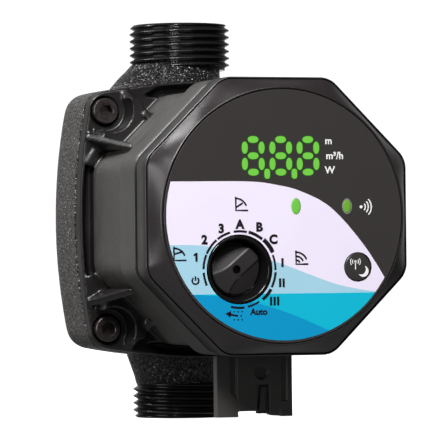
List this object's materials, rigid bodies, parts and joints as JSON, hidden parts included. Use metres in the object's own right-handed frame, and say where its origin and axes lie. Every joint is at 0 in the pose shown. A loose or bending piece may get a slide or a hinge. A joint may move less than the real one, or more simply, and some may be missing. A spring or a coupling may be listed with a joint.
{
  "type": "circulator pump",
  "caption": "Wet-rotor heating circulator pump with threaded inline ports, octagonal motor housing, round control label, selector knob, mode button and plug socket.",
  "frame": {"origin": "where the vertical port axis crosses the horizontal shaft axis", "axes": "+Z along the port axis towards the outlet, -Y along the shaft axis towards the control face, +X to the right seen from the control face"},
  "size_m": [0.0904, 0.1197, 0.13],
  "materials": {
    "cast_iron": "rough cast surface with a black coating that sparkles; smooth black on the threads",
    "housing_aluminium": "fine-grained grey die casting, satin",
    "head_frame": "smooth satin grey",
    "dark_polymer": "dark warm grey, moulded, low gloss",
    "socket_polymer": "dark grey glass-filled plastic",
    "label_film": "printed polyester film, satin, dark grey with white, light blue and cyan fields",
    "seal_rubber": "black EPDM",
    "screw_steel": "zinc-nickel plated steel",
    "stainless": "deep-drawn stainless steel",
    "graphite": "carbon graphite, matt",
    "ceramic": "polished alumina",
    "magnet": "encapsulated ferrite",
    "impeller_polymer": "glass-filled plastic",
    "lamination": "stacked electrical steel",
    "copper": "enamelled copper wire",
    "contact_metal": "tin-plated brass",
    "board": "green solder mask",
    "black_part": "moulded black component bodies",
    "light_guide": "translucent green light guide",
    "led": "LED package"
  },
  "bodies": {
    "body": {"pump_housing": "cast_iron", "motor_housing": "housing_aluminium", "control_frame": "head_frame", "front_cover": "dark_polymer", "front_label": "label_film", "cover_gasket": "seal_rubber", "casing_o_ring": "seal_rubber", "wear_ring": "stainless", "bearing_plate": "stainless", "rotor_can": "stainless", "front_bearing": "graphite", "rear_bearing": "graphite", "rear_bearing_holder": "stainless", "stator_core": "lamination", "encoder_body": "black_part", "button_switch": "black_part", "control_board": "board", "display_module": "black_part", "status_light": "light_guide", "status_light_led": "led", "wireless_light": "light_guide", "wireless_light_led": "led", "power_board": "board", "line_choke": "copper", "connector_socket": "socket_polymer", "housing_screw_1": "screw_steel", "housing_screw_2": "screw_steel", "housing_screw_3": "screw_steel", "housing_screw_4": "screw_steel", "stator_coil_1": "copper", "stator_coil_2": "copper", "stator_coil_3": "copper", "stator_coil_4": "copper", "stator_coil_5": "copper", "stator_coil_6": "copper", "filter_capacitor_1": "black_part", "filter_capacitor_2": "black_part", "contact_pin_1": "contact_metal", "contact_pin_2": "contact_metal", "contact_pin_3": "contact_metal"},
    "rotor": {"impeller": "impeller_polymer", "rotor_shaft": "ceramic", "thrust_washer": "graphite", "rotor_magnet": "magnet"},
    "selector": {"selector_knob": "dark_polymer", "knob_spindle": "stainless"},
    "button": {"mode_button": "dark_polymer"}
  },
  "joints": [
    {"name": "rotor_spin", "type": "hinge", "parent": "body", "child": "rotor", "pos_m": [0, -0.04, 0], "axis": [0, 1, 0], "continuous": true},
    {"name": "selector_turn", "type": "hinge", "parent": "body", "child": "selector", "pos_m": [-0.01474, -0.0915, -0.01633], "axis": [0, 1, 0], "range_deg": [-155, 133]},
    {"name": "mode_button_press", "type": "slide", "parent": "body", "child": "button", "axis": [0, 1, 0], "range_m": [0, 0.0005], "stiffness_N_per_m": 800, "springref_m": -0.0008}
  ]
}
